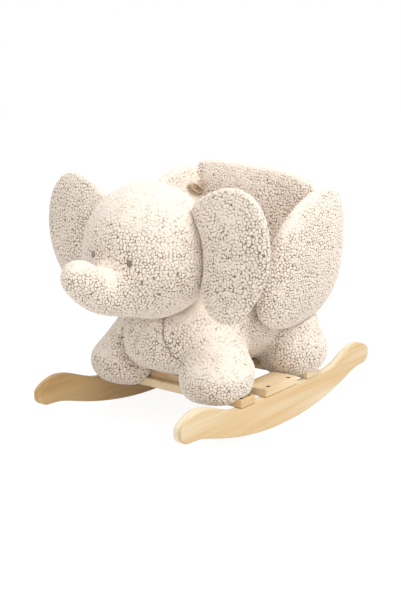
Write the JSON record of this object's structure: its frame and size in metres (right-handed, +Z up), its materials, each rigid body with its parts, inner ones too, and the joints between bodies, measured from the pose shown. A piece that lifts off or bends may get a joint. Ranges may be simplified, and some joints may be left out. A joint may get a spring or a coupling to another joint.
{
  "type": "plush rocking elephant",
  "caption": "Child's plush rocking elephant: a stuffed body with seat wings and backrest, built on a wooden frame over curved wooden rockers with footrests.",
  "frame": {"origin": "centre of the whole toy's bounding box, on the floor, under the rockers", "axes": "the elephant faces -Y, its own left side is +X, +Z is up"},
  "size_m": [0.456, 0.6458, 0.4247],
  "materials": {
    "pale_wood": "lacquered light beech, satin",
    "plywood": "raw plywood",
    "fleece": "curly cream teddy fleece over polyester filling",
    "steel": "dark countersunk screws",
    "stitching": "padded grey satin stitch",
    "strap": "tan woven strap"
  },
  "bodies": {
    "toy": {"back_board": "plywood", "back_screw_left": "steel", "back_screw_right": "steel", "backrest": "fleece", "base_board": "plywood", "base_screw_front_left": "steel", "base_screw_front_right": "steel", "base_screw_rear_left": "steel", "base_screw_rear_right": "steel", "body": "fleece", "eye_left": "stitching", "eye_right": "stitching", "footrest_left": "pale_wood", "footrest_right": "pale_wood", "footrest_screw_left_1": "steel", "footrest_screw_left_2": "steel", "footrest_screw_right_1": "steel", "footrest_screw_right_2": "steel", "front_crossbar": "pale_wood", "front_crossbar_screw_left_1": "steel", "front_crossbar_screw_left_2": "steel", "front_crossbar_screw_right_1": "steel", "front_crossbar_screw_right_2": "steel", "front_leg_left": "fleece", "front_leg_right": "fleece", "front_upright": "plywood", "head": "fleece", "neck_board": "plywood", "neck_screw_left": "steel", "neck_screw_right": "steel", "rear_crossbar": "pale_wood", "rear_crossbar_screw_left_1": "steel", "rear_crossbar_screw_left_2": "steel", "rear_crossbar_screw_right_1": "steel", "rear_crossbar_screw_right_2": "steel", "rear_leg_left": "fleece", "rear_leg_right": "fleece", "rear_upright": "plywood", "rocker_left": "pale_wood", "rocker_right": "pale_wood", "seat_board": "plywood", "seat_pad": "fleece", "seat_screw_front_left": "steel", "seat_screw_front_right": "steel", "seat_screw_rear_left": "steel", "seat_screw_rear_right": "steel", "trunk": "fleece", "upright_screw_front_left": "steel", "upright_screw_front_right": "steel", "upright_screw_rear_left": "steel", "upright_screw_rear_right": "steel", "wing_left": "fleece", "wing_right": "fleece"},
    "left_ear": {"ear_left": "fleece"},
    "right_ear": {"ear_right": "fleece"},
    "strap_loop": {"strap_loop": "strap"}
  },
  "joints": [
    {"name": "left_ear_flap", "type": "hinge", "parent": "toy", "child": "left_ear", "pos_m": [0.1108, -0.136, 0.3055], "axis": [0, 0, 1], "range_deg": [-15, 25], "stiffness_Nm_per_rad": 0.3},
    {"name": "right_ear_flap", "type": "hinge", "parent": "toy", "child": "right_ear", "pos_m": [-0.1108, -0.136, 0.3055], "axis": [0, 0, -1], "range_deg": [-15, 25], "stiffness_Nm_per_rad": 0.3},
    {"name": "strap_loop_swing", "type": "hinge", "parent": "toy", "child": "strap_loop", "pos_m": [-0.10838, 0.13758, 0.36554], "axis": [-1, 0, 0], "range_deg": [-10, 35], "stiffness_Nm_per_rad": 0.02}
  ]
}
